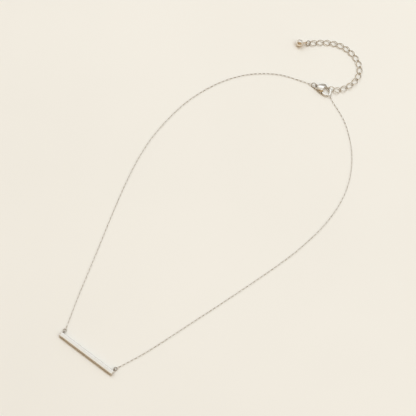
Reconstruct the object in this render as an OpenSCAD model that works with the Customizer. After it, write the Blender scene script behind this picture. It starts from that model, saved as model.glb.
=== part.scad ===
// Bar necklace, fastened and laid flat on a table.
// A polished bar hangs between the two halves of a fine chain. At the back
// a lobster clasp holds the end ring, which also carries an extender of
// twisted links with a ball drop at its free end.
// The bar lies along X and the clasp lies towards +Y. The origin is on the
// table, under the middle of the whole outline.

/* [Bar] */
// Length of the bar
bar_length = 32.4; // [30:0.1:34]
// Width of the bar, as seen from above
bar_width = 2.4; // [2.2:0.1:2.6]
// Thickness of the bar
bar_thickness = 2; // [1.8:0.1:2.2]
// Width of the bevel along its four long edges
bar_bevel = 0.15; // [0.05:0.05:0.3]
// Distance of each soldered lug from the end of the bar
lug_inset = 0.7; // [0.5:0.1:1.2]
// Radius of a lug, to the middle of its wire
lug_radius = 0.55; // [0.5:0.01:0.6]
// Wire radius of a lug
lug_wire = 0.18; // [0.14:0.01:0.2]
// Radius of the rings in the lugs, to the middle of the wire
bar_ring_radius = 0.8; // [0.75:0.01:0.9]
// Wire radius of those rings
bar_ring_wire = 0.16; // [0.12:0.01:0.18]

/* [Chain] */
// Outer width of the fine chain
chain_width = 0.8; // [0.7:0.05:0.9]

/* [Clasp] */
// Thickness of the clasp at its belly
clasp_belly = 2.6; // [2.4:0.1:2.7]
// Thickness of its hook and of its lever
hook_thickness = 0.8; // [0.6:0.05:0.9]
// Radius of the round opening between hook and belly
opening_radius = 1.65; // [1.6:0.01:1.7]
// Radius of the eye, to the middle of its wire
eye_radius = 0.95; // [0.9:0.01:1]
// Wire radius of the eye
eye_wire = 0.3; // [0.25:0.01:0.32]
// Inner radius of the lever's gate, about the middle of the opening
gate_radius = 1.92; // [1.88:0.01:1.96]
// Width of the lever's gate
gate_width = 0.75; // [0.6:0.05:0.8]
// Radius of the rivet that the lever turns on
rivet_radius = 0.35; // [0.3:0.01:0.4]
// Gap round the rivet in the lever's bore
rivet_gap = 0.05; // [0.03:0.01:0.08]
// Angle that the lever opens by, kept free inside the clasp
lever_travel = 20; // [15:1:20]
// Radius of the ring between chain and clasp, to the middle of the wire
clasp_ring_radius = 1.3; // [1.25:0.01:1.35]
// Wire radius of that ring
clasp_ring_wire = 0.2; // [0.16:0.01:0.22]

/* [Extender] */
// Number of links in the extender
link_count = 15; // [13:1:15]
// Distance from one link to the next
link_pitch = 3.53; // [3.45:0.01:3.55]
// Length of a link, measured along the middle of its wire
link_length = 4.14; // [4.12:0.01:4.18]
// Width of a link, measured along the middle of its wire
link_width = 2.6; // [2.5:0.01:2.7]
// Wire radius of a link
link_wire = 0.22; // [0.2:0.01:0.23]
// Twist of each end of a link about its length
link_twist = 45; // [40:1:48]
// Radius of the ring held by the clasp, to the middle of the wire
end_ring_radius = 1.55; // [1.53:0.01:1.58]
// Wire radius of that ring
end_ring_wire = 0.22; // [0.18:0.01:0.23]

/* [Drop] */
// Radius of the ball
ball_radius = 1.9; // [1.8:0.05:2]
// Radius of the ball's loop, to the middle of its wire
ball_loop_radius = 0.85; // [0.8:0.01:0.9]
// Wire radius of the ball's loop
ball_loop_wire = 0.2; // [0.16:0.01:0.22]
// Radius of the last ring, to the middle of the wire
drop_ring_radius = 1.27; // [1.25:0.01:1.32]
// Wire radius of the last ring
drop_ring_wire = 0.22; // [0.18:0.01:0.24]

/* [Hidden] */
link_names = [for (i = [1:link_count]) str("extender_link_", i < 10 ? "0" : "", i)];
$fn = 48;

silver = [0.80, 0.79, 0.77];
chain_silver = [0.74, 0.73, 0.70];

// Place of the bar's middle on the table
bar_place = [-6.7, -102.8, 0];
// Height of the lugs' middles over the table
lug_level = 0.75;
// Directions in which the chain leaves the two ends of the bar
left_ring_heading = 95;
right_ring_heading = 60;
// How far along the bar the right ring has slipped in its lug
right_ring_slip = 0.15;
// Room between a lug's wire and the ring in it
lug_play = 0.05;
// How far the rings in the lugs slope down towards the chain
bar_ring_slope = -11;

// The clasp lies level, with its belly on the table
clasp_place = [2.4, 76.2, clasp_belly / 2];
clasp_turn = 12;
// Middle of the round opening and of the belly, in the clasp's own frame,
// where X runs from the eye to the tip of the hook
opening_middle = [5.4, 0.1];
belly_middle = [2.9, 0.1];
belly_dome = 5;
pivot = [3.0, -1.0];
lever_gap = 0.12;
// The gate runs from the belly to the tip of the hook, as an arc about the
// middle of the opening
gate_start = -150;
gate_end = -47;
gate_root = -132;
// Angles left free at the tip of the gate: to the hook, and past its closed and
// open places
tip_gap = 2;
tip_overrun = 6;
// Longer than any radius of the clasp
clasp_reach = 5;
// Room above and below the lever, room round the rivet in the body, and how far
// the rivet's two ends lie under the belly's height
slot_play = 0.05;
rivet_fit = 0.02;
rivet_inset = 0.1;
hub_radius = 0.75;
thumb_place = [1.75, 1.95];
clasp_ring_place = [-1.42, 0.05, -0.1];
clasp_ring_slope = 8;
clasp_ring_lean = 48;
// The end ring hangs round the hook: its plane holds the heading and leans
end_ring_place = [7.49, 1.7, 0.3];
end_ring_heading = 20;
end_ring_lean = 60;
// Where the extender hangs in it, as an angle round the ring
extender_hold = 0;
thumb_radius = 0.42;
stem_width = 0.7;

// Outer outline of the clasp, from the eye over the hook and back
clasp_outline = [
    [0.5, 0.9], [1.5, 1.9], [2.8, 2.65], [4.1, 2.95], [5.6, 2.7], [6.9, 1.95],
    [7.75, 0.98], [8.2, 0], [8.35, -1], [8, -1.9], [7.1, -2.45], [5.7, -2.7],
    [4.3, -2.55], [3, -2.15], [1.7, -1.5], [0.6, -0.85]];

// Routes of the two halves of the chain: where each point is on the table, and
// how far the chain is lifted off it there
left_route = [
    [-22.42, -99.2, 0], [-27.5, -83, 0], [-31.5, -69, 0], [-35.5, -55, 0],
    [-40, -39.5, 0], [-44, -24.5, 0], [-47, -10.5, 0], [-48.5, 4.5, 0],
    [-47.5, 21.5, 0], [-44.5, 35, 0], [-38.5, 49, 0], [-29.5, 61, 0],
    [-17.5, 70, 0.02], [-5, 74.5, 0.1], [-0.6, 75.7, 0.5]];
right_route = [
    [9.98, 78.44, 0], [11.2, 76.4, 0], [13.5, 74.8, 0], [25.5, 69, 0],
    [37, 58.5, 0], [44.5, 46, 0], [48, 32.5, 0], [48, 17, 0],
    [45, 0, 0], [41, -14, 0], [36.5, -27.5, 0], [31.5, -42, 0],
    [26.5, -56, 0], [21.5, -70, 0], [16, -85, 0], [9.72, -99.45, 0]];
// Route of the extender, from the end ring to the drop, with the height of its middle
extender_route = [
    [12.2, 81.2, 1], [14.4, 84.05, 0.78], [16.1, 88.1, 0.72], [16.6, 92.5, 0.72],
    [14.9, 97, 0.72], [11, 100.5, 0.72], [5, 102.3, 0.72], [-1, 102, 0.72],
    [-7, 99.6, 0.72], [-12.6, 95.2, 0.72], [-14.25, 93.5, 0.72]];
// Room left between one wire and the next where they hang in each other, and the
// same between the last ring and the ball's loop
play = 0.1;
ball_play = 0.2;
// Directions of the last ring and the ball, and their slopes
drop_heading = 218;
drop_ring_slope = 30;
drop_ring_lean = -30;
drop_ring_height = 1.1;
ball_slope = 4.8;
ball_loop_lean = -50;
// Length and radius of the stub that joins loop and ball
ball_neck = 0.1;
ball_neck_radius = 0.32;

function unit(v) = v / norm(v);

// Catmull-Rom curve: one span between b and c, and a whole open or closed curve
function span(a, b, c, d, t) =
    0.5 * (2 * b + (c - a) * t + (2 * a - 5 * b + 4 * c - d) * t * t
        + (3 * b - a - 3 * c + d) * t * t * t);
function curve(p, steps) = let (last = len(p) - 1) [
    for (i = [0:last - 1]) let (
        before = i == 0 ? 2 * p[0] - p[1] : p[i - 1],
        after = i + 2 > last ? 2 * p[last] - p[last - 1] : p[i + 2])
        for (k = [0:steps - 1]) span(before, p[i], p[i + 1], after, k / steps),
    p[last]];
function closed_curve(p, steps) = let (n = len(p)) [
    for (i = [0:n - 1]) for (k = [0:steps - 1])
        span(p[(i + n - 1) % n], p[i], p[(i + 1) % n], p[(i + 2) % n], k / steps)];

function arc(middle, radius, from, to, steps) = [
    for (k = [0:steps]) let (a = from + (to - from) * k / steps)
        middle + radius * [cos(a), sin(a)]];

// Point at a given length along a list of points
function along(p, length, i = 0) = let (step = norm(p[i + 1] - p[i]))
    length <= step || i + 2 >= len(p)
        ? p[i] + (p[i + 1] - p[i]) * length / step
        : along(p, length - step, i + 1);

function turned(p, a) = [p.x * cos(a) - p.y * sin(a), p.x * sin(a) + p.y * cos(a), p.z];

// The extender's path over the table, from its place in the end ring
extender_start = clasp_place + turned(end_ring_place + turned(end_ring_radius * [
    cos(extender_hold), sin(extender_hold) * cos(end_ring_lean),
    sin(extender_hold) * sin(end_ring_lean)], end_ring_heading), clasp_turn);
path = curve(concat([extender_start], extender_route), 8);
first_link_at = link_length / 2 - link_wire - end_ring_wire - play;

// The last ring hangs in the last link, and the ball's loop hangs in that ring
last_link_end = along(path, first_link_at + (link_count - 1) * link_pitch
    + link_length / 2 - link_wire - drop_ring_wire - play);
drop_ring_place = [last_link_end.x, last_link_end.y, drop_ring_height]
    + turned([drop_ring_radius * cos(drop_ring_slope), 0, 0], drop_heading);
ball_loop_at = ball_radius + ball_neck + ball_loop_wire + ball_loop_radius;
ball_place = [drop_ring_place.x, drop_ring_place.y, ball_radius]
    + turned([drop_ring_radius * cos(drop_ring_slope) + ball_loop_radius - ball_loop_wire
              - drop_ring_wire - ball_play + ball_loop_at * cos(ball_slope), 0, 0], drop_heading);

// Wire of a given radius along points, as an open tube or a closed loop.
// Each section stands square to the wire, turned by the up direction there.
module wire(points, ups, radius, sides, closed) {
    n = len(points);
    function at(i) = closed ? (i + n) % n : min(max(i, 0), n - 1);
    sections = [for (i = [0:n - 1]) let (
        forward = unit(points[at(i + 1)] - points[at(i - 1)]),
        across = unit(cross(forward, ups[i])),
        up = cross(across, forward))
        for (k = [0:sides - 1])
            points[i] + radius * (cos(360 * k / sides) * across + sin(360 * k / sides) * up)];
    spans = closed ? n : n - 1;
    walls = [for (i = [0:spans - 1]) for (k = [0:sides - 1]) let (
        j = at(i + 1),
        m = (k + 1) % sides)
        each [[i * sides + k, j * sides + m, j * sides + k],
              [i * sides + k, i * sides + m, j * sides + m]]];
    caps = closed ? [] : [
        [for (k = [0:sides - 1]) sides - 1 - k],
        [for (k = [0:sides - 1]) (n - 1) * sides + k]];
    polyhedron(sections, concat(walls, caps), convexity = 6);
}

// A round ring. Its plane holds the heading, sloped, and leans over sideways.
module ring(place, heading, slope, lean, radius, wire_radius)
    translate(place) rotate([0, 0, heading]) rotate([0, -slope, 0]) rotate([lean, 0, 0])
        rotate_extrude() translate([radius, 0]) circle(wire_radius, $fn = 24);

module lug(x) {
    translate([x, bar_width / 2 + lug_radius, lug_level]) rotate([0, 90, 0])
        rotate_extrude() translate([lug_radius, 0]) circle(lug_wire, $fn = 24);
}

module bar() {
    w = bar_width / 2;
    b = bar_bevel;
    t = bar_thickness;
    color(silver) translate(bar_place) {
        translate([-bar_length / 2, 0, 0]) rotate([90, 0, 90]) linear_extrude(bar_length)
            polygon([[-w + b, 0], [w - b, 0], [w, b], [w, t - b],
                     [w - b, t], [-w + b, t], [-w, t - b], [-w, b]]);
        for (side = [-1, 1]) lug(side * (bar_length / 2 - lug_inset));
    }
}

// The ring in one lug: its near side hangs in the lug, its far side holds the chain
module bar_ring(side, heading, slip) {
    hold = bar_place + [side * (bar_length / 2 - lug_inset) - slip,
                        bar_width / 2 + lug_radius + lug_play, lug_level];
    reach = bar_ring_radius * [cos(heading) * cos(bar_ring_slope),
                               sin(heading) * cos(bar_ring_slope), sin(bar_ring_slope)];
    color(silver) ring(hold + reach, heading, bar_ring_slope, 0, bar_ring_radius, bar_ring_wire);
}

module bar_ring_left() bar_ring(-1, left_ring_heading, 0);

module bar_ring_right() bar_ring(1, right_ring_heading, right_ring_slip);

// Half of the chain, as the plain tube that its links fill
module chain_half(route) {
    points = curve([for (p = route) p + [0, 0, chain_width / 2]], 3);
    color(chain_silver) wire(points, [for (p = points) [0, 0, 1]], chain_width / 2, 8, false);
}

module chain_left() chain_half(left_route);

module chain_right() chain_half(right_route);

module in_clasp() translate(clasp_place) rotate([0, 0, clasp_turn]) children();

module clasp_ring() in_clasp()
    color(silver) ring(clasp_ring_place, 0, clasp_ring_slope, clasp_ring_lean,
                       clasp_ring_radius, clasp_ring_wire);

// Plan of the lever, grown on all sides: gate, hub, stem and thumb piece
module lever_plan(grow) {
    inner = gate_radius - grow;
    outer = gate_radius + gate_width + grow;
    turn = asin(grow / gate_radius);
    polygon(concat(arc(opening_middle, outer, gate_start, gate_end + turn, 24),
                   arc(opening_middle, inner, gate_end + turn, gate_start, 24)));
    translate(pivot) circle(hub_radius + grow);
    stem = thumb_place - pivot;
    translate(pivot) rotate(atan2(stem.y, stem.x)) translate([0, -stem_width / 2 - grow])
        square([norm(stem), stem_width + 2 * grow]);
    translate(thumb_place) circle(thumb_radius + grow);
}

// Room for the lever from closed to open
module lever_sweep() for (k = [0:5])
    translate(pivot) rotate(lever_travel * k / 5) translate(-pivot) lever_plan(lever_gap);

// Room for the gate's tip to swing inside the hook, past the middle of the opening
module tip_sweep() {
    tip = opening_middle + (gate_radius + gate_width) * [cos(gate_end), sin(gate_end)];
    reach = norm(tip - pivot) + lever_gap;
    closed_at = atan2(tip.y - pivot.y, tip.x - pivot.x);
    intersection() {
        polygon(concat([pivot], arc(pivot, reach, closed_at - tip_overrun,
                                    closed_at + lever_travel + tip_overrun, 16)));
        translate([opening_middle.x, opening_middle.y - clasp_reach])
            square([clasp_reach, 2 * clasp_reach]);
    }
}

module clasp_plan() difference() {
    polygon(closed_curve(clasp_outline, 4));
    translate(opening_middle) circle(opening_radius);
    tip_sweep();
    polygon(concat([opening_middle],
                   arc(opening_middle, clasp_reach, gate_root, gate_end + tip_gap, 8)));
}

module clasp_body() in_clasp() color(silver) difference() {
    union() {
        translate([0, 0, -hook_thickness / 2]) linear_extrude(hook_thickness) clasp_plan();
        intersection() {
            translate([0, 0, -clasp_belly / 2]) linear_extrude(clasp_belly) clasp_plan();
            intersection_for (side = [-1, 1])
                translate([belly_middle.x, belly_middle.y, side * (clasp_belly / 2 - belly_dome)])
                    sphere(belly_dome, $fn = 96);
        }
        rotate_extrude() translate([eye_radius, 0]) circle(eye_wire, $fn = 24);
    }
    cylinder(h = clasp_belly, r = eye_radius - eye_wire, center = true);
    slot = hook_thickness + 2 * slot_play;
    translate([0, 0, -slot / 2]) linear_extrude(slot) lever_sweep();
    translate(pivot) cylinder(h = 2 * clasp_belly, r = rivet_radius + rivet_fit, center = true);
}

module clasp_lever() in_clasp() color(silver) difference() {
    translate([0, 0, -hook_thickness / 2]) linear_extrude(hook_thickness) lever_plan(0);
    translate(pivot) cylinder(h = clasp_belly, r = rivet_radius + rivet_gap, center = true);
}

module clasp_rivet() in_clasp() color(silver)
    translate(pivot) cylinder(h = clasp_belly - 2 * rivet_inset, r = rivet_radius, center = true);

// The end ring leans over, round the hook, and holds chain and extender
module end_ring() in_clasp() color(silver)
    ring(end_ring_place, end_ring_heading, 0, end_ring_lean, end_ring_radius, end_ring_wire);

// One twisted link along X. Its two ends turn opposite ways, so that each
// end crosses the next link square on while every link lies flat.
module twisted_link() {
    steps = 16;
    function lean(t) = link_twist * cos(t);
    function across(t) = [0, cos(lean(t)), sin(lean(t))];
    points = [for (k = [0:steps - 1]) let (t = 360 * k / steps)
        [link_length / 2 * cos(t), 0, 0] + link_width / 2 * sin(t) * across(t)];
    ups = [for (k = [0:steps - 1]) cross([1, 0, 0], across(360 * k / steps))];
    wire(points, ups, link_wire, 6, true);
}

module extender_link(i) {
    middle = first_link_at + i * link_pitch;
    ahead = along(path, middle + link_pitch / 2) - along(path, max(middle - link_pitch / 2, 0));
    slope = atan2(ahead.z, norm([ahead.x, ahead.y]));
    color(silver) translate(along(path, middle))
        rotate([0, -slope, atan2(ahead.y, ahead.x)]) twisted_link();
}

module drop_ring() color(silver)
    ring(drop_ring_place, drop_heading, drop_ring_slope, drop_ring_lean, drop_ring_radius,
         drop_ring_wire);

// The drop lies on its ball, with its loop leaning over and sloping down
module ball_drop() color(silver) translate(ball_place) rotate([0, ball_slope, drop_heading + 180]) {
    sphere(ball_radius, $fn = 64);
    rotate([0, 90, 0]) cylinder(h = ball_loop_at - ball_loop_radius, r = ball_neck_radius);
    translate([ball_loop_at, 0, 0]) rotate([ball_loop_lean, 0, 0])
        rotate_extrude() translate([ball_loop_radius, 0]) circle(ball_loop_wire, $fn = 24);
}

bar();
bar_ring_left();
bar_ring_right();
chain_left();
chain_right();
clasp_ring();
clasp_body();
clasp_lever();
clasp_rivet();
end_ring();
for (i = [0:link_count - 1]) extender_link(i);
drop_ring();
ball_drop();
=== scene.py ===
"""The bar necklace laid flat on a pale table, seen from above at the photograph's angle."""
import math

import bmesh
import bpy
import numpy as np
from mathutils import Matrix, Vector


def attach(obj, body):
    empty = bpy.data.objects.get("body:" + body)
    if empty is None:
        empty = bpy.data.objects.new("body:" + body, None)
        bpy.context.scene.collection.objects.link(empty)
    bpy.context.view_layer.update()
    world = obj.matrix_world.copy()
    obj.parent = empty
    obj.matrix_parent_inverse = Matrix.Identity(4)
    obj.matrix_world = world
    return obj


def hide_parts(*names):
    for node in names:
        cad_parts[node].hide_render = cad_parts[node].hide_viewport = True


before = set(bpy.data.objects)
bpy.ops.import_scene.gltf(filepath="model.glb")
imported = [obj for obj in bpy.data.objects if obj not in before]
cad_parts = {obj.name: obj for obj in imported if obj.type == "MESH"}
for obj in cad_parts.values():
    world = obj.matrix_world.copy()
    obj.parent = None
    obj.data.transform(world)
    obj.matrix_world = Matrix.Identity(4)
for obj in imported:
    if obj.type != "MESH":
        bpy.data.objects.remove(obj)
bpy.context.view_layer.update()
MM = 0.001

# The visible pieces are sized in millimetres and degrees. A ring's or a link's size is taken
# to the middle of its wire, and wire is the wire's radius. A ring's plane holds its heading,
# raised by its slope, and leans over about it; cut is the angle of the slit in the wire.

# The bar: size, place of the middle of its underside, crown of its face, reach of its edges
BAR_SIZE = (32.4, 2.4, 2.0)
BAR_PLACE = (-6.7, -102.8, 0.0)
BAR_CROWN, BAR_EDGE = 0.04, 0.38

# The lugs on the bar's upper edge: distance from its end, size and height, and how far past
# the middle of a lug the ring hangs in it
LUG_INSET, LUG_RADIUS, LUG_WIRE, LUG_LEVEL, LUG_HOLD = 0.7, 0.55, 0.18, 0.75, 0.05

# The rings in the lugs. The right one has slipped a little towards the bar's middle.
BAR_RING_RADIUS, BAR_RING_WIRE, BAR_RING_SLOPE, BAR_RING_CUT = 0.8, 0.16, -11, 100
LEFT_RING_HEADING, RIGHT_RING_HEADING, RIGHT_RING_SLIP = 95, 60, 0.15

# The clasp's frame, the rings at its two ends in that frame, and the angles round the rings
# at which the chains and the extender hang
CLASP_PLACE, CLASP_TURN = (2.4, 76.2, 1.3), 12
CLASP_RING = dict(place=(-1.42, 0.05, -0.1), heading=0, slope=8, lean=48,
                  radius=1.3, wire=0.2, cut=80)
END_RING = dict(place=(7.49, 1.7, 0.3), heading=20, slope=0, lean=60,
                radius=1.55, wire=0.22, cut=200)
LEFT_CHAIN_HOLD, RIGHT_CHAIN_HOLD, EXTENDER_HOLD = 180, -90, 0

# The extender's links, and the play that loose wires have in each other
LINK_COUNT, LINK_PITCH = 15, 3.53
LINK_LENGTH, LINK_WIDTH, LINK_WIRE, LINK_TWIST = 4.14, 2.6, 0.22, 45
PLAY, BALL_PLAY = 0.1, 0.2

# The last ring, and the ball with its neck and loop
DROP_HEADING = 218
DROP_RING_RADIUS, DROP_RING_WIRE, DROP_RING_CUT = 1.27, 0.22, 250
DROP_RING_SLOPE, DROP_RING_LEAN, DROP_RING_HEIGHT = 30, -30, 1.1
BALL_RADIUS, BALL_SLOPE, BALL_NECK = 1.9, 4.8, 0.1
BALL_LOOP_RADIUS, BALL_LOOP_WIRE, BALL_LOOP_LEAN = 0.85, 0.2, -50

# The fine chain: the height of its middle where it lies, the distance from link to link,
# and the half length, half width and wire of the links that lie flat, of those between
# them that stand on edge, and of the end links. Then how far the flat and the upright links
# are rolled over, and how much that varies.
CHAIN_HEIGHT = 0.4
CHAIN_PITCH = 1.08
CHAIN_FLAT_LINK = (0.64, 0.33, 0.04)
CHAIN_EDGE_LINK = (0.57, 0.20, 0.08)
CHAIN_END_LINK = (0.80, 0.37, 0.11)
FLAT_ROLL, EDGE_ROLL, ROLL_SPREAD = 5, 95, 6

# Routes over the table between the rings: where a chain is and how far it is lifted off the
# table there, and where the extender is and its height
LEFT_ROUTE = [
    (-27.5, -83, 0), (-31.5, -69, 0), (-35.5, -55, 0), (-40, -39.5, 0), (-44, -24.5, 0),
    (-47, -10.5, 0), (-48.5, 4.5, 0), (-47.5, 21.5, 0), (-44.5, 35, 0), (-38.5, 49, 0),
    (-29.5, 61, 0), (-17.5, 70, 0.02), (-5, 74.5, 0.1)]
RIGHT_ROUTE = [
    (11.2, 76.4, 0), (13.5, 74.8, 0), (25.5, 69, 0), (37, 58.5, 0), (44.5, 46, 0),
    (48, 32.5, 0), (48, 17, 0), (45, 0, 0), (41, -14, 0), (36.5, -27.5, 0),
    (31.5, -42, 0), (26.5, -56, 0), (21.5, -70, 0), (16, -85, 0)]
EXTENDER_ROUTE = [
    (12.2, 81.2, 1), (14.4, 84.05, 0.78), (16.1, 88.1, 0.72), (16.6, 92.5, 0.72),
    (14.9, 97, 0.72), (11, 100.5, 0.72), (5, 102.3, 0.72), (-1, 102, 0.72),
    (-7, 99.6, 0.72), (-12.6, 95.2, 0.72), (-14.25, 93.5, 0.72)]

# The table, light and camera are in metres and degrees. The directions of the photograph's
# right and up lie on the table.
IMAGE_RIGHT = Vector((0.8014, 0.5981, 0))
IMAGE_UP = Vector((-0.5981, 0.8014, 0))
TABLE_HALF = 5
KEY_POWER = 20.5
KEY_COLOUR = (0.86, 0.95, 1.00)
KEY_RIGHT, KEY_UP, KEY_HEIGHT = 0.38, 0.38, 1.42
KEY_LONG, KEY_SHORT = 3.8, 0.45
CAMERA_ELEVATION, CAMERA_DISTANCE = 74, 0.6935
CAMERA_AIM = Vector((-3.6, -8.6, 0)) * MM
FOCAL_PIXELS, PICTURE_PIXELS, SENSOR_MM = 1387, 416, 36

# Colours of the sky along the axis across its band, and what they are multiplied by from the
# photograph's left to its right. Positions 0 and 1 are the two ends of the axis.
BAND_TURN, BAND_RISE = 15, 12
SKY_BAND = [(0.0, (0.42, 0.28, 0.12)), (0.33, (0.52, 0.34, 0.15)),
            (0.39, (0.88, 0.86, 0.81)), (0.55, (0.90, 0.90, 0.87)), (0.62, (1.30, 1.34, 1.38)),
            (0.73, (1.30, 1.34, 1.38)), (0.79, (0.52, 0.49, 0.45)), (1.0, (0.40, 0.37, 0.33))]
SKY_SIDE = [(0.0, (0.58, 0.51, 0.42)), (0.22, (0.72, 0.66, 0.57)), (0.36, (1.0, 1.0, 1.0)),
            (0.72, (1.0, 1.0, 1.0)), (0.90, (0.66, 0.62, 0.56))]


# Curves and turns. A turn is a matrix: it turns one vector as turn @ vector, and points in
# rows as points @ turn.T.


def turn_z(degrees):
    return np.array(Matrix.Rotation(math.radians(degrees), 3, "Z"))


def turn_y(degrees):
    return np.array(Matrix.Rotation(math.radians(degrees), 3, "Y"))


def turn_x(degrees):
    return np.array(Matrix.Rotation(math.radians(degrees), 3, "X"))


def facing(direction):
    """Turn that takes X to the direction and keeps Y level."""
    heading = math.degrees(math.atan2(direction[1], direction[0]))
    slope = math.degrees(math.atan2(direction[2], math.hypot(direction[0], direction[1])))
    return turn_z(heading) @ turn_y(-slope)


def around(count):
    """Even angles round a circle, in radians."""
    return np.arange(count) * 2 * math.pi / count


def circle(radius, angles):
    """Points of a circle in the XY plane."""
    return radius * np.stack([np.cos(angles), np.sin(angles), 0 * angles], -1)


def curve(points, steps):
    """Catmull-Rom curve through points, with steps from each to the next."""
    p = np.array(points, float)
    p = np.vstack([2 * p[0] - p[1], p, 2 * p[-1] - p[-2]])
    out = []
    for a, b, c, d in zip(p, p[1:], p[2:], p[3:]):
        for k in range(steps):
            t = k / steps
            out.append(0.5 * (2 * b + (c - a) * t + (2 * a - 5 * b + 4 * c - d) * t * t
                              + (3 * b - a - 3 * c + d) * t ** 3))
    out.append(p[-2])
    return np.array(out)


class Path:
    """Points along a route, by length."""

    def __init__(self, points):
        self.points = points
        steps = np.linalg.norm(np.diff(points, axis=0), axis=1)
        self.at = np.concatenate([[0], np.cumsum(steps)])
        self.length = self.at[-1]

    def point(self, s):
        """Place at the length s, also straight on past the end."""
        if s > self.length:
            last = self.points[-1] - self.points[-2]
            return self.points[-1] + last / np.linalg.norm(last) * (s - self.length)
        return np.array([np.interp(s, self.at, self.points[:, k]) for k in range(3)])

    def ahead(self, s, step):
        """The way the path runs at the length s, measured over a step round it."""
        return self.point(s + step / 2) - self.point(max(s - step / 2, 0))


# Mesh building


def sweep(points, up, radius, sides, closed):
    """Vertices and faces of a wire along points. up is the direction across the curve's
    plane, or one for each point."""
    n = len(points)
    if closed:
        forward = np.roll(points, -1, 0) - np.roll(points, 1, 0)
    else:
        forward = np.gradient(points, axis=0)
    forward /= np.linalg.norm(forward, axis=1)[:, None]
    across = np.cross(forward, up)
    across /= np.linalg.norm(across, axis=1)[:, None]
    over = np.cross(across, forward)
    t = around(sides)[None, :, None]
    ring = np.cos(t) * across[:, None] + np.sin(t) * over[:, None]
    verts = (points[:, None] + radius * ring).reshape(-1, 3)
    faces = []
    for i in range(n if closed else n - 1):
        j = (i + 1) % n
        for k in range(sides):
            m = (k + 1) % sides
            faces.append((i * sides + k, j * sides + k, j * sides + m, i * sides + m))
    if not closed:
        faces.append(tuple(range(sides)))
        faces.append(tuple(range(n * sides - 1, (n - 1) * sides - 1, -1)))
    return verts, faces


def lathe(profile, sides):
    """Closed surface turned about X from (x, radius) rows. The first and last radius are 0."""
    verts = [(profile[0][0], 0, 0)]
    for x, r in profile[1:-1]:
        verts += [(x, r * math.cos(t), r * math.sin(t)) for t in around(sides)]
    verts.append((profile[-1][0], 0, 0))
    last = len(verts) - 1
    rows = len(profile) - 2
    faces = []
    for k in range(sides):
        m = (k + 1) % sides
        faces.append((0, 1 + m, 1 + k))
        faces.append((last, 1 + (rows - 1) * sides + k, 1 + (rows - 1) * sides + m))
        for i in range(rows - 1):
            a = 1 + i * sides
            b = a + sides
            faces.append((a + k, a + m, b + m, b + k))
    return np.array(verts), faces


def combined(parts):
    """One list of vertices and faces from several."""
    verts, faces, start = [], [], 0
    for v, f in parts:
        verts.append(v)
        faces += [tuple(i + start for i in face) for face in f]
        start += len(v)
    return np.vstack(verts), faces


def piece(name, verts, faces, material, nodes):
    """A mesh of the root body from vertices in millimetres, with material and CAD nodes."""
    mesh = bpy.data.meshes.new(name)
    mesh.from_pydata([tuple(v) for v in verts * MM], [], faces)
    obj = bpy.data.objects.new(name, mesh)
    bpy.context.scene.collection.objects.link(obj)
    dress(obj, material, "root", nodes)
    return obj


def dress(obj, material, body, nodes):
    """Outward faces, smooth shading, material, body and CAD nodes of a finished mesh."""
    bm = bmesh.new()
    bm.from_mesh(obj.data)
    bmesh.ops.recalc_face_normals(bm, faces=bm.faces)
    for face in bm.faces:
        face.smooth = True
    bm.to_mesh(obj.data)
    bm.free()
    obj.data.materials.clear()
    obj.data.materials.append(material)
    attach(obj, body)
    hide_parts(*nodes)


# Materials


def colour_ramp(tree, value, stops):
    """Colour ramp over value: stops are (position, colour) pairs."""
    ramp = tree.nodes.new("ShaderNodeValToRGB")
    elements = ramp.color_ramp.elements
    while len(elements) < len(stops):
        elements.new(0.5)
    for element, (position, colour) in zip(elements, stops):
        element.position = position
        element.color = (*colour, 1)
    tree.links.new(value, ramp.inputs["Fac"])
    return ramp.outputs["Color"]


def moved(tree, value, start=(0, 1), goal=(0, 1)):
    """Value moved from the range start to the range goal, and kept inside it."""
    node = tree.nodes.new("ShaderNodeMapRange")
    for name, end in zip(("From Min", "From Max", "To Min", "To Max"), (*start, *goal)):
        node.inputs[name].default_value = end
    tree.links.new(value, node.inputs["Value"])
    return node.outputs["Result"]


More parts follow.
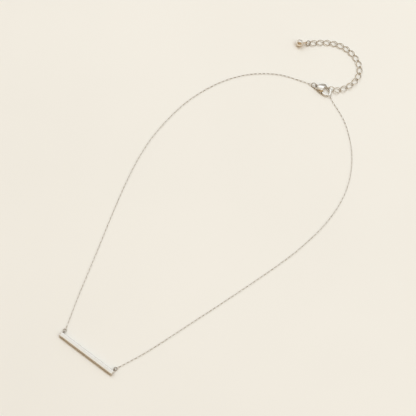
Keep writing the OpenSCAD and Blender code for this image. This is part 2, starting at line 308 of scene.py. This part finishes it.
class Shader:
    """A new material, and the nodes that are added to it. Scales of noise are per metre."""

    def __init__(self, name):
        self.material = bpy.data.materials.new(name)
        self.material.use_nodes = True
        self.tree = self.material.node_tree
        self.bsdf = self.tree.nodes["Principled BSDF"]
        coordinates = self.tree.nodes.new("ShaderNodeTexCoord")
        self.place = coordinates.outputs["Object"]

    def noise(self, scale, detail, roughness, finer=(1, 1, 1)):
        """Noise that is finer along each axis by its factor."""
        mapping = self.tree.nodes.new("ShaderNodeMapping")
        mapping.inputs["Scale"].default_value = finer
        self.tree.links.new(self.place, mapping.inputs["Vector"])
        noise = self.tree.nodes.new("ShaderNodeTexNoise")
        noise.inputs["Scale"].default_value = scale
        noise.inputs["Detail"].default_value = detail
        noise.inputs["Roughness"].default_value = roughness
        self.tree.links.new(mapping.outputs["Vector"], noise.inputs["Vector"])
        return noise.outputs["Fac"]

    def bump(self, height, strength, depth):
        """Bumps on the surface. The depth is in millimetres."""
        bump = self.tree.nodes.new("ShaderNodeBump")
        bump.inputs["Strength"].default_value = strength
        bump.inputs["Distance"].default_value = depth * MM
        self.tree.links.new(height, bump.inputs["Height"])
        self.tree.links.new(bump.outputs["Normal"], self.bsdf.inputs["Normal"])

    def openness(self, reach):
        """1 on open surfaces, down to 0 in crevices narrower than the reach in millimetres: the
        mask of painted shade.
        """
        open_sky = self.tree.nodes.new("ShaderNodeAmbientOcclusion")
        open_sky.samples = 16
        open_sky.inputs["Distance"].default_value = reach * MM
        return moved(self.tree, open_sky.outputs["AO"], start=(0.25, 0.85))

    def height(self, low, high):
        """0 below the low height over the table, up to 1 at the high one, in millimetres."""
        parts = self.tree.nodes.new("ShaderNodeSeparateXYZ")
        self.tree.links.new(self.place, parts.inputs["Vector"])
        return moved(self.tree, parts.outputs["Z"], start=(low * MM, high * MM))

    def blend(self, factor, low, high):
        """Colour low where the factor is 0, and the output high where it is 1."""
        mix = self.tree.nodes.new("ShaderNodeMix")
        mix.data_type = "RGBA"
        mix.inputs["A"].default_value = (*low, 1)
        self.tree.links.new(factor, mix.inputs["Factor"])
        self.tree.links.new(high, mix.inputs["B"])
        return mix.outputs["Result"]

    def feed(self, socket, output):
        """Drives a socket of the surface by an output."""
        self.tree.links.new(output, self.bsdf.inputs[socket])


def silver(name, light, dark, polish, scratch, shade_tint=None, reach=None, shade_heights=None):
    """Polished silver: faint clouding from light to dark, a roughness that varies over the
    range polish, and fine handling scratches. With a shade tint, crevices narrower than the
    reach and faces close to the table are painted in that tint: painted shade. With shade
    heights, a pair of heights over the table, what lies below them is painted in the tint
    instead: a painted shade and reflection."""
    s = Shader(name)
    s.bsdf.inputs["Metallic"].default_value = 1.0
    clouds = s.noise(350, detail=4.0, roughness=0.55)
    colour = colour_ramp(s.tree, clouds, [(0.3, dark), (0.62, light)])
    if shade_tint:
        unshaded = s.height(*shade_heights) if shade_heights else s.openness(reach)
        colour = s.blend(unshaded, shade_tint, colour)
    s.feed("Base Color", colour)
    wear = s.noise(900, detail=5.0, roughness=0.6, finer=(1, 3, 1))
    s.feed("Roughness", moved(s.tree, wear, goal=polish))
    scratches = s.noise(2600, detail=4.0, roughness=0.65, finer=(1, 6, 2))
    s.bump(scratches, strength=scratch, depth=0.01)
    return s.material


def table_top():
    """Warm white card: a matt surface with a very fine tooth."""
    s = Shader("table_card")
    s.bsdf.inputs["Roughness"].default_value = 0.85
    s.bsdf.inputs["Specular IOR Level"].default_value = 0.2
    shades = s.noise(9, detail=3.0, roughness=0.5)
    s.feed("Base Color", colour_ramp(s.tree, shades, [
        (0.35, (0.845, 0.825, 0.785)), (0.65, (0.86, 0.84, 0.80))]))
    s.bump(s.noise(2200, detail=5.0, roughness=0.6), strength=0.12, depth=0.04)
    return s.material


# The bar is painted darker near the table and in the crevices by its lugs: painted shade.
BAR_SILVER = silver("bar_silver", (0.90, 0.88, 0.84), (0.86, 0.84, 0.79),
                    polish=(0.10, 0.20), scratch=0.15, shade_tint=(0.20, 0.12, 0.05), reach=2)
# Wire rings and links are painted darker where they cross and near the table: painted shade.
WIRE_SILVER = silver("wire_silver", (0.86, 0.83, 0.78), (0.76, 0.71, 0.63),
                     polish=(0.12, 0.22), scratch=0.2, shade_tint=(0.22, 0.15, 0.09), reach=0.5)
# A lighter silver for the fine chain's flat links; its links on edge get the darker copy: painted
# light and shade along the chain.
CHAIN_SILVER = silver("fine_chain_silver", (0.95, 0.93, 0.89), (0.88, 0.85, 0.80),
                      polish=(0.14, 0.26), scratch=0.2)
# A darker copy of the silver for the bar's lugs, the small rings and the fine chain's links on
# edge: painted shade.
SHADED_SILVER = silver("painted_shade_silver", (0.58, 0.53, 0.46), (0.40, 0.34, 0.27),
                     polish=(0.18, 0.30), scratch=0.2, shade_tint=(0.14, 0.10, 0.06), reach=0.8)
# The ball and its neck are painted warm brown below 1.9 mm over the table, fading out by 2.9 mm: a
# painted reflection of the shaded table.
BALL_SILVER = silver("ball_silver", (0.95, 0.93, 0.90), (0.90, 0.87, 0.83),
                     polish=(0.32, 0.42), scratch=0.15, shade_tint=(0.80, 0.65, 0.48),
                     shade_heights=(1.9, 2.9))
# The clasp is painted darker in its crevices and near the table: painted shade.
CAST_SILVER = silver("cast_clasp_silver", (0.90, 0.88, 0.84), (0.78, 0.74, 0.67),
                     polish=(0.10, 0.22), scratch=0.3, shade_tint=(0.20, 0.13, 0.07), reach=1.0)


# Rings


def ring_mesh(place, heading, slope, lean, radius, wire, cut=None, frame_of=None):
    """A ring, in the part's frame or in one given by a turn and a place. A cut ring has a slit
    0.04 mm wide."""
    turn = turn_z(heading) @ turn_y(-slope) @ turn_x(lean)
    segments, slit = 72, 0.02 / radius
    if cut is None:
        angles = around(segments)
    else:
        angles = math.radians(cut) + np.linspace(slit, 2 * math.pi - slit, segments)
    points = circle(radius, angles) @ turn.T + np.array(place)
    up = turn @ (0, 0, 1)
    if frame_of is not None:
        turn_of, place_of = frame_of
        points = points @ turn_of.T + place_of
        up = turn_of @ up
    return sweep(points, up, wire, sides=16, closed=cut is None)


def bar_ring_place(side, heading, slip):
    """Middle of a ring in one of the bar's lugs, and the point where the chain hangs in it."""
    hold = np.array(BAR_PLACE) + (side * (BAR_SIZE[0] / 2 - LUG_INSET) - slip,
                                  BAR_SIZE[1] / 2 + LUG_RADIUS + LUG_HOLD, LUG_LEVEL)
    reach = turn_z(heading) @ turn_y(-BAR_RING_SLOPE) @ (BAR_RING_RADIUS, 0, 0)
    return hold + reach, hold + 2 * reach


LEFT_RING, LEFT_HOLD = bar_ring_place(-1, LEFT_RING_HEADING, 0)
RIGHT_RING, RIGHT_HOLD = bar_ring_place(1, RIGHT_RING_HEADING, RIGHT_RING_SLIP)


def make_bar_rings():
    """The two rings in the bar's lugs, which hold the chains."""
    for name, place, heading in (("bar_ring_left", LEFT_RING, LEFT_RING_HEADING),
                                 ("bar_ring_right", RIGHT_RING, RIGHT_RING_HEADING)):
        verts, faces = ring_mesh(place, heading, BAR_RING_SLOPE, 0, BAR_RING_RADIUS,
                                 BAR_RING_WIRE, BAR_RING_CUT)
        # The rings are in the darker copy of the silver: painted shade.
        piece(name + "_wire", verts, faces, SHADED_SILVER, [name])


CLASP_FRAME = (turn_z(CLASP_TURN), np.array(CLASP_PLACE))


def on_ring(size, angle):
    """Point of a clasp ring's wire, by the angle round the ring from its heading."""
    turn = turn_z(size["heading"]) @ turn_y(-size["slope"]) @ turn_x(size["lean"])
    local = circle(size["radius"], math.radians(angle))
    return CLASP_FRAME[0] @ (np.array(size["place"]) + turn @ local) + CLASP_FRAME[1]


def make_clasp_rings():
    """The ring in the clasp's eye, and the large one in its hook."""
    # The ring in the clasp's eye is in the darker copy of the silver: painted shade.
    for name, size, material in (("clasp_ring", CLASP_RING, SHADED_SILVER),
                                 ("end_ring", END_RING, WIRE_SILVER)):
        verts, faces = ring_mesh(**size, frame_of=CLASP_FRAME)
        piece(name + "_wire", verts, faces, material, [name])


# The bar


def bar_body():
    """The bar without its lugs, about the middle of its underside. Cuts across the middle 0.96
    of its length and width leave strips small enough for the crown."""
    length, width, height = BAR_SIZE
    bm = bmesh.new()
    bmesh.ops.create_cube(bm, size=1)
    for v in bm.verts:
        v.co = Vector((v.co.x * length, v.co.y * width, (v.co.z + 0.5) * height))
    bmesh.ops.bevel(bm, geom=list(bm.edges), offset=BAR_EDGE, segments=6, profile=0.5,
                    affect="EDGES")
    cut_share = 0.96
    for axis, strips in ((0, 40), (1, 14)):
        normal = Vector((0, 0, 0))
        normal[axis] = 1
        for k in range(1, strips):
            offset = (k / strips - 0.5) * cut_share * BAR_SIZE[axis]
            bmesh.ops.bisect_plane(bm, geom=list(bm.verts) + list(bm.edges) + list(bm.faces),
                                   plane_co=normal * offset, plane_no=normal)
    bm.verts.index_update()
    verts = np.array([v.co for v in bm.verts])
    faces = [tuple(v.index for v in f.verts) for f in bm.faces]
    bm.free()
    over = np.clip(verts[:, 2] / height, 0, 1)
    verts[:, 2] -= BAR_CROWN * over * (2 * verts[:, 1] / width) ** 2
    return verts, faces


def make_bar():
    """Bar with a slightly crowned face, soft edges, and a lug soldered near each end."""
    length, width = BAR_SIZE[:2]
    verts, faces = bar_body()
    parts = [(verts + BAR_PLACE, faces)]
    turn = turn_y(90)
    for side in (-1, 1):
        centre = np.array(BAR_PLACE) + (side * (length / 2 - LUG_INSET),
                                        width / 2 + LUG_RADIUS, LUG_LEVEL)
        points = circle(LUG_RADIUS, around(48)) @ turn.T + centre
        parts.append(sweep(points, turn @ (0, 0, 1), LUG_WIRE, sides=14, closed=True))
    body_faces = len(faces)
    verts, faces = combined(parts)
    bar = piece("bar_polished", verts, faces, BAR_SILVER, ["bar"])
    # The lugs are in the darker copy of the silver: painted shade.
    bar.data.materials.append(SHADED_SILVER)
    for face in bar.data.polygons[body_faces:]:
        face.material_index = 1


# The fine chain


def chain_link(half_length, half_width, wire):
    """A link in the XY plane: straight sides and round ends."""
    points = circle(half_width, around(18))
    straight = half_length - half_width
    points[:, 0] += straight * np.clip(2 * points[:, 0] / half_width, -1, 1)
    return sweep(points, (0, 0, 1), wire, sides=8, closed=True)


def make_chain(name, route, start, end, start_wire, end_wire):
    """A cable chain between two rings: every other link stands across the one before.
    start and end are the middles of the ring wires that the end links go round."""
    lifted = [np.array(p) + (0, 0, CHAIN_HEIGHT) for p in route]
    path = Path(curve([start] + lifted + [end], steps=12))
    end_reach = CHAIN_END_LINK[0] - CHAIN_END_LINK[2]
    first = end_reach - start_wire
    last = path.length - (end_reach - end_wire)
    # How much farther an end link reaches inside its wire than a flat link
    end_extra = end_reach - (CHAIN_FLAT_LINK[0] - CHAIN_FLAT_LINK[2])
    inner = last - first - end_extra
    count = round(inner / CHAIN_PITCH)
    pitch = inner / count
    places = [first] + [first + end_extra / 2 + k * pitch for k in range(1, count)] + [last]
    rng = np.random.default_rng(seed=7)
    parts, edge_on = [], []
    for i, s in enumerate(places):
        size, roll = (CHAIN_EDGE_LINK, EDGE_ROLL) if i % 2 else (CHAIN_FLAT_LINK, FLAT_ROLL)
        if i in (0, count):
            size = CHAIN_END_LINK
        verts, faces = chain_link(*size)
        turn = facing(path.ahead(s, pitch)) @ turn_x(roll + rng.normal(0, ROLL_SPREAD))
        parts.append((verts @ turn.T + path.point(s), faces))
        edge_on += [i % 2] * len(faces)
    verts, faces = combined(parts)
    chain = piece(name + "_links", verts, faces, CHAIN_SILVER, [name])
    # Flat links in the lighter silver, links on edge in the darker copy: painted light and shade
    # along the chain.
    chain.data.materials.append(SHADED_SILVER)
    chain.data.polygons.foreach_set("material_index", edge_on)


# The extender


EXTENDER = Path(curve([on_ring(END_RING, EXTENDER_HOLD)] + EXTENDER_ROUTE, steps=8))
FIRST_LINK = LINK_LENGTH / 2 - LINK_WIRE - END_RING["wire"] - PLAY


def twisted_link():
    """One curb link along X. Its two ends turn opposite ways."""
    t = around(48)
    lean = np.radians(LINK_TWIST * np.cos(t))
    across = np.stack([0 * t, np.cos(lean), np.sin(lean)], 1)
    points = LINK_WIDTH / 2 * np.sin(t)[:, None] * across
    points[:, 0] = LINK_LENGTH / 2 * np.cos(t)
    return sweep(points, np.cross((1, 0, 0), across), LINK_WIRE, sides=12, closed=True)


def make_extender():
    """Twisted links along the extender's route, each through the one before."""
    verts, faces = twisted_link()
    for i in range(LINK_COUNT):
        s = FIRST_LINK + i * LINK_PITCH
        placed = verts @ facing(EXTENDER.ahead(s, LINK_PITCH)).T + EXTENDER.point(s)
        name = f"extender_link_{i + 1:02d}"
        piece(name + "_wire", placed, faces, WIRE_SILVER, [name])


# The drop


def make_drop():
    """The last ring, and the ball that hangs in it by a soldered loop and lies on the table."""
    heading = turn_z(DROP_HEADING)
    last = EXTENDER.point(FIRST_LINK + (LINK_COUNT - 1) * LINK_PITCH
                          + LINK_LENGTH / 2 - LINK_WIRE - DROP_RING_WIRE - PLAY)
    half = DROP_RING_RADIUS * math.cos(math.radians(DROP_RING_SLOPE))
    ring_at = np.array([last[0], last[1], DROP_RING_HEIGHT]) + heading @ (half, 0, 0)
    verts, faces = ring_mesh(ring_at, DROP_HEADING, DROP_RING_SLOPE, DROP_RING_LEAN,
                             DROP_RING_RADIUS, DROP_RING_WIRE, DROP_RING_CUT)
    # The last ring is in the darker copy of the silver: painted shade.
    piece("drop_ring_wire", verts, faces, SHADED_SILVER, ["drop_ring"])

    loop_at = BALL_RADIUS + BALL_NECK + BALL_LOOP_WIRE + BALL_LOOP_RADIUS
    reach = (half + BALL_LOOP_RADIUS - BALL_LOOP_WIRE - DROP_RING_WIRE - BALL_PLAY
             + loop_at * math.cos(math.radians(BALL_SLOPE)))
    ball_at = np.array([ring_at[0], ring_at[1], BALL_RADIUS]) + heading @ (reach, 0, 0)
    turn = turn_z(DROP_HEADING + 180) @ turn_y(BALL_SLOPE)
    # The ball's outline as far as the neck, then the neck, which ends inside the loop's wire
    outline_end = math.pi * 0.93
    profile = [(-BALL_RADIUS * math.cos(a), BALL_RADIUS * math.sin(a))
               for a in np.linspace(0, outline_end, 40)]
    foot_radius, waist_radius, tip_radius = 0.33, 0.28, 0.2
    wire_at = loop_at - BALL_LOOP_RADIUS
    profile += [(BALL_RADIUS + 0.08, foot_radius), (wire_at - 0.05, waist_radius),
                (wire_at + 0.05, tip_radius), (wire_at + 0.1, 0)]
    loop = ring_mesh((loop_at, 0, 0), heading=0, slope=0, lean=BALL_LOOP_LEAN,
                     radius=BALL_LOOP_RADIUS, wire=BALL_LOOP_WIRE)
    verts, faces = combined([lathe(profile, sides=64), loop])
    piece("ball_drop_polished", verts @ turn.T + ball_at, faces, BALL_SILVER, ["ball_drop"])


# The clasp


def cast(name, node, body, voxel, rounds):
    """The CAD solid with the soft edges of a tumbled casting, fused into one skin. It is
    remeshed in millimetres, by voxels of that size, and smoothed in rounds."""
    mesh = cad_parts[node].data.copy()
    mesh.transform(Matrix.Scale(1 / MM, 4))
    obj = bpy.data.objects.new(name, mesh)
    bpy.context.scene.collection.objects.link(obj)
    remesh = obj.modifiers.new("skin", "REMESH")
    remesh.mode = "VOXEL"
    remesh.voxel_size = voxel
    soften = obj.modifiers.new("soften", "SMOOTH")
    soften.factor = 0.5
    soften.iterations = rounds
    graph = bpy.context.evaluated_depsgraph_get()
    skin = bpy.data.meshes.new_from_object(obj.evaluated_get(graph))
    obj.modifiers.clear()
    obj.data = skin
    skin.transform(Matrix.Scale(MM, 4))
    dress(obj, CAST_SILVER, body, [node])


def make_clasp():
    """The cast body and lever. The rivet stays the CAD solid."""
    cast("clasp_body_cast", "clasp_body", "root", voxel=0.06, rounds=6)
    cast("clasp_lever_cast", "clasp_lever", "lever", voxel=0.045, rounds=3)
    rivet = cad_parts["clasp_rivet"]
    rivet.data.materials.clear()
    rivet.data.materials.append(CAST_SILVER)


# Floor, lights and camera


def make_floor():
    """The table, wide enough that low views don't show its edge."""
    mesh = bpy.data.meshes.new("table")
    corners = [(x * TABLE_HALF, y * TABLE_HALF, 0) for x, y in ((-1, -1), (1, -1), (1, 1), (-1, 1))]
    mesh.from_pydata(corners, [], [(0, 1, 2, 3)])
    floor = bpy.data.objects.new("table", mesh)
    bpy.context.scene.collection.objects.link(floor)
    mesh.materials.append(table_top())


def make_key():
    """Strip light to the photograph's upper right. Its long side is level, and it faces the
    table. Metal reflects the sky alone."""
    data = bpy.data.lights.new("key", "AREA")
    data.shape = "RECTANGLE"
    data.size = KEY_LONG
    data.size_y = KEY_SHORT
    data.energy = KEY_POWER
    data.color = KEY_COLOUR
    light = bpy.data.objects.new("key", data)
    light.location = IMAGE_RIGHT * KEY_RIGHT + IMAGE_UP * KEY_UP + Vector((0, 0, KEY_HEIGHT))
    light.rotation_mode = "QUATERNION"
    light.rotation_quaternion = (-light.location).to_track_quat("-Z", "Y")
    light.visible_glossy = False
    bpy.context.scene.collection.objects.link(light)


def make_sky():
    """A bright cool band across the top of a warm room that is dimmer towards its walls. The
    band runs from the photograph's left to its right, so that metal shows light along its
    crest and brown at its sides."""
    world = bpy.data.worlds.new("studio")
    bpy.context.scene.world = world
    world.use_nodes = True
    tree = world.node_tree
    direction = tree.nodes.new("ShaderNodeTexCoord").outputs["Generated"]

    def along(axis):
        """How far a direction lies along an axis, from against it to along it, as 0 to 1."""
        dot = tree.nodes.new("ShaderNodeVectorMath")
        dot.operation = "DOT_PRODUCT"
        dot.inputs[1].default_value = axis.normalized()
        tree.links.new(direction, dot.inputs[0])
        return moved(tree, dot.outputs["Value"], start=(-1, 1))

    turn, rise = math.radians(BAND_TURN), math.radians(BAND_RISE)
    side = IMAGE_RIGHT * math.sin(turn) + IMAGE_UP * math.cos(turn)
    across = side * math.cos(rise) - Vector((0, 0, 1)) * math.sin(rise)
    product = tree.nodes.new("ShaderNodeVectorMath")
    product.operation = "MULTIPLY"
    tree.links.new(colour_ramp(tree, along(across), SKY_BAND), product.inputs[0])
    tree.links.new(colour_ramp(tree, along(IMAGE_RIGHT), SKY_SIDE), product.inputs[1])
    tree.links.new(product.outputs["Vector"], tree.nodes["Background"].inputs["Color"])


def make_camera():
    """The photograph's view: from well above the table, with a long lens."""
    data = bpy.data.cameras.new("camera")
    data.sensor_width = SENSOR_MM
    data.lens = FOCAL_PIXELS / PICTURE_PIXELS * SENSOR_MM
    data.clip_start = 0.01
    camera = bpy.data.objects.new("camera", data)
    bpy.context.scene.collection.objects.link(camera)
    elevation = math.radians(CAMERA_ELEVATION)
    forward = IMAGE_UP * math.cos(elevation) - Vector((0, 0, 1)) * math.sin(elevation)
    up = IMAGE_UP * math.sin(elevation) + Vector((0, 0, 1)) * math.cos(elevation)
    turn = Matrix((IMAGE_RIGHT, up, -forward)).transposed()
    camera.matrix_world = (Matrix.Translation(CAMERA_AIM - forward * CAMERA_DISTANCE)
                           @ turn.to_4x4())
    bpy.context.scene.camera = camera


make_camera()
make_floor()
make_sky()
make_key()
make_bar()
make_bar_rings()
make_clasp_rings()
make_chain("chain_left", LEFT_ROUTE, LEFT_HOLD, on_ring(CLASP_RING, LEFT_CHAIN_HOLD),
           BAR_RING_WIRE, CLASP_RING["wire"])
make_chain("chain_right", RIGHT_ROUTE, on_ring(END_RING, RIGHT_CHAIN_HOLD), RIGHT_HOLD,
           END_RING["wire"], BAR_RING_WIRE)
make_extender()
make_drop()
make_clasp()

bpy.context.scene.view_settings.view_transform = "Standard"
